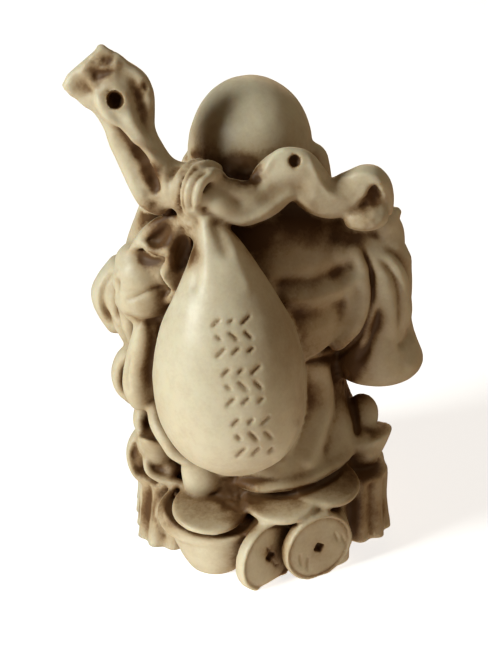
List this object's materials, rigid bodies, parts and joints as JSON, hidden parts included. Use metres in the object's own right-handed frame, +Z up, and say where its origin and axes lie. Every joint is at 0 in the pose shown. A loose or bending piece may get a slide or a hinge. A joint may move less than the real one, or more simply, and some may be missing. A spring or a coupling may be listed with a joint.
{
  "type": "budai figurine",
  "caption": "Cast resin figurine of a round bald monk on a heap of ingots and coins, with a gnarled branch across his shoulders and a tied sack hanging down his back.",
  "frame": {"origin": "centre of the fluted base's underside, on the surface that the figurine stands on", "axes": "+Z up, +Y the way the figure faces, +X to the figure's right; the sack and the back of the robe are on the -Y side"},
  "size_m": [0.0707, 0.065, 0.1117],
  "materials": {
    "resin": "bone-coloured cast polyester resin, satin to glossy, rubbed with brown patina that stays in the hollows"
  },
  "bodies": {
    "root": {"budai_figure": "resin"}
  },
  "joints": []
}
